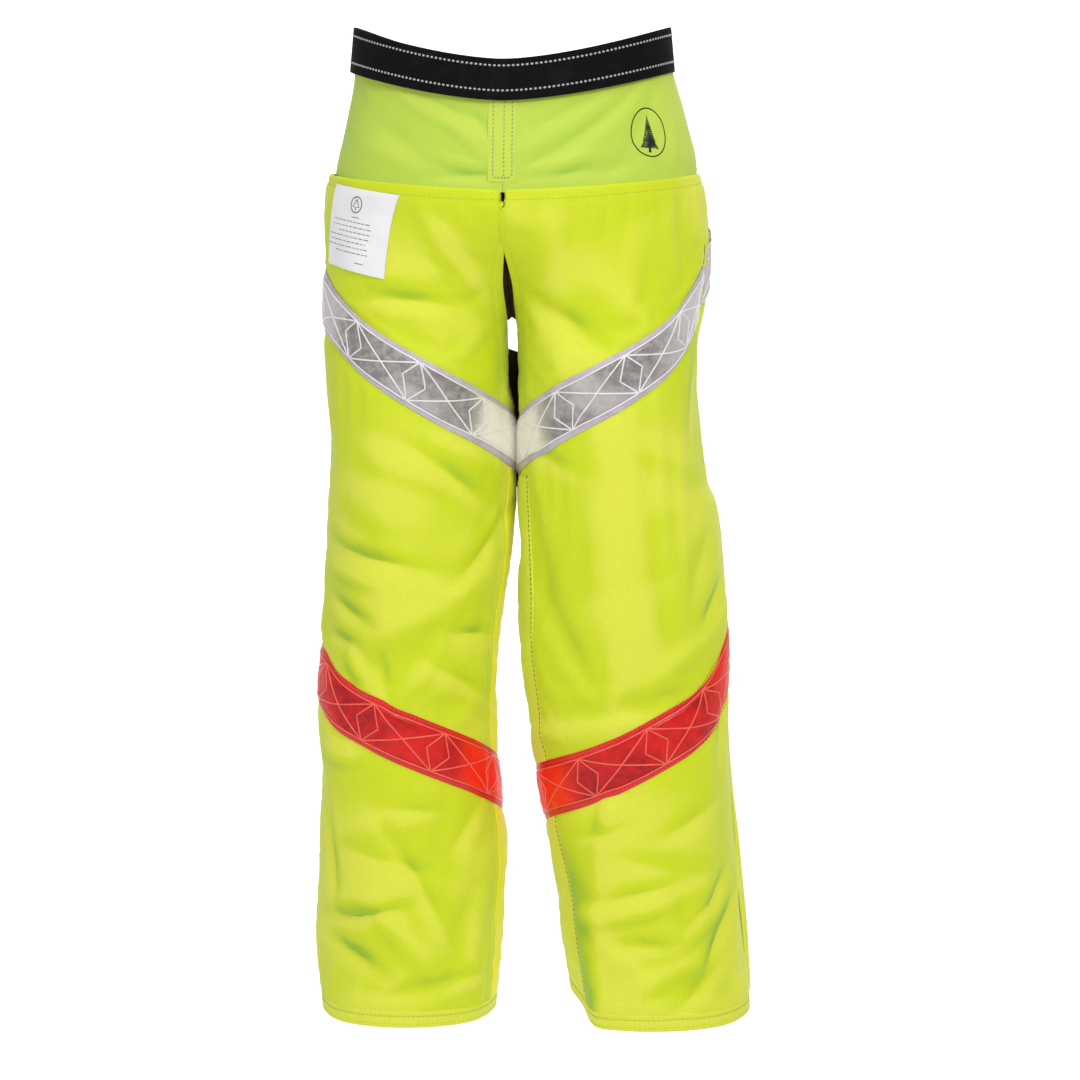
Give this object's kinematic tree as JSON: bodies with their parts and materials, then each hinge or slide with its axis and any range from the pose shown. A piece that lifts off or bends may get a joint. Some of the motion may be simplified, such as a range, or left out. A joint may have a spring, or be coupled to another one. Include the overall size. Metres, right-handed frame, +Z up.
{
  "type": "chainsaw chaps",
  "caption": "Chainsaw chaps: padded open-back leg panels on a fabric yoke and webbing belt, with slanted tapes, back wraps and buckled leg straps.",
  "frame": {"origin": "middle of the waist opening, level with the belt's middle line at the front", "axes": "+Z up the wearer's body, -Y out of the front of the chaps, +X to the wearer's left"},
  "size_m": [0.4085, 0.2461, 0.94],
  "materials": {
    "shell": "matt coated weave",
    "yoke_fabric": "matt plain weave",
    "lining": "matt knit",
    "cut_pad": "loose fibre layers",
    "webbing": "ribbed weave",
    "buckle_plastic": "fine grain",
    "pale_tape": "embossed clear film",
    "orange_tape": "embossed clear film",
    "label": "smooth printed weave"
  },
  "bodies": {
    "waist": {"belt_webbing": "webbing", "belt_socket": "buckle_plastic", "belt_loose_end": "webbing", "yoke_left": "yoke_fabric", "yoke_right": "yoke_fabric", "front_placket": "yoke_fabric"},
    "belt_plug": {"belt_plug": "buckle_plastic"},
    "thigh_left": {"shell_left": "shell", "lining_left": "lining", "thigh_pad_left": "cut_pad", "thigh_tape_left": "pale_tape", "thigh_wrap_left": "shell", "thigh_strap_left_socket": "buckle_plastic", "thigh_strap_left_socket_webbing": "webbing", "thigh_strap_left_plug_webbing": "webbing"},
    "shin_left": {"shin_pad_left": "cut_pad", "shin_tape_left": "orange_tape", "calf_wrap_left": "shell", "hem_left": "shell", "calf_strap_left_socket": "buckle_plastic", "calf_strap_left_socket_webbing": "webbing", "calf_strap_left_plug_webbing": "webbing", "ankle_strap_left_socket": "buckle_plastic", "ankle_strap_left_socket_webbing": "webbing", "ankle_strap_left_plug_webbing": "webbing"},
    "thigh_strap_left_plug": {"thigh_strap_left_plug": "buckle_plastic"},
    "calf_strap_left_plug": {"calf_strap_left_plug": "buckle_plastic"},
    "ankle_strap_left_plug": {"ankle_strap_left_plug": "buckle_plastic"},
    "thigh_right": {"shell_right": "shell", "lining_right": "lining", "thigh_pad_right": "cut_pad", "thigh_tape_right": "pale_tape", "thigh_wrap_right": "shell", "thigh_strap_right_socket": "buckle_plastic", "thigh_strap_right_socket_webbing": "webbing", "thigh_strap_right_plug_webbing": "webbing", "care_label": "label"},
    "shin_right": {"shin_pad_right": "cut_pad", "shin_tape_right": "orange_tape", "calf_wrap_right": "shell", "hem_right": "shell", "calf_strap_right_socket": "buckle_plastic", "calf_strap_right_socket_webbing": "webbing", "calf_strap_right_plug_webbing": "webbing", "ankle_strap_right_socket": "buckle_plastic", "ankle_strap_right_socket_webbing": "webbing", "ankle_strap_right_plug_webbing": "webbing"},
    "thigh_strap_right_plug": {"thigh_strap_right_plug": "buckle_plastic"},
    "calf_strap_right_plug": {"calf_strap_right_plug": "buckle_plastic"},
    "ankle_strap_right_plug": {"ankle_strap_right_plug": "buckle_plastic"}
  },
  "joints": [
    {"name": "waist_release", "type": "slide", "parent": "waist", "child": "belt_plug", "axis": [1, 0, 0], "range_m": [0, 0.034], "deforming": ["belt_loose_end"]},
    {"name": "hip_left", "type": "hinge", "parent": "waist", "child": "thigh_left", "pos_m": [0, -0.038, -0.06], "axis": [1, 0, 0], "range_deg": [-35, 15], "deforming": ["yoke_left", "front_placket", "shell_left", "lining_left"]},
    {"name": "knee_left", "type": "hinge", "parent": "thigh_left", "child": "shin_left", "pos_m": [0, -0.027, -0.48], "axis": [1, 0, 0], "range_deg": [0, 45], "deforming": ["shell_left", "lining_left"]},
    {"name": "thigh_strap_left_release", "type": "slide", "parent": "thigh_left", "child": "thigh_strap_left_plug", "axis": [1, 0, 0], "range_m": [0, 0.026], "deforming": ["thigh_strap_left_plug_webbing"]},
    {"name": "calf_strap_left_release", "type": "slide", "parent": "shin_left", "child": "calf_strap_left_plug", "axis": [1, 0, 0], "range_m": [0, 0.026], "deforming": ["calf_strap_left_plug_webbing"]},
    {"name": "ankle_strap_left_release", "type": "slide", "parent": "shin_left", "child": "ankle_strap_left_plug", "axis": [1, 0, 0], "range_m": [0, 0.026], "deforming": ["ankle_strap_left_plug_webbing"]},
    {"name": "hip_right", "type": "hinge", "parent": "waist", "child": "thigh_right", "pos_m": [0, -0.038, -0.06], "axis": [1, 0, 0], "range_deg": [-35, 15], "deforming": ["yoke_right", "front_placket", "shell_right", "lining_right", "care_label"]},
    {"name": "knee_right", "type": "hinge", "parent": "thigh_right", "child": "shin_right", "pos_m": [0, -0.027, -0.48], "axis": [1, 0, 0], "range_deg": [0, 45], "deforming": ["shell_right", "lining_right"]},
    {"name": "thigh_strap_right_release", "type": "slide", "parent": "thigh_right", "child": "thigh_strap_right_plug", "axis": [-1, 0, 0], "range_m": [0, 0.026], "deforming": ["thigh_strap_right_plug_webbing"]},
    {"name": "calf_strap_right_release", "type": "slide", "parent": "shin_right", "child": "calf_strap_right_plug", "axis": [-1, 0, 0], "range_m": [0, 0.026], "deforming": ["calf_strap_right_plug_webbing"]},
    {"name": "ankle_strap_right_release", "type": "slide", "parent": "shin_right", "child": "ankle_strap_right_plug", "axis": [-1, 0, 0], "range_m": [0, 0.026], "deforming": ["ankle_strap_right_plug_webbing"]}
  ]
}
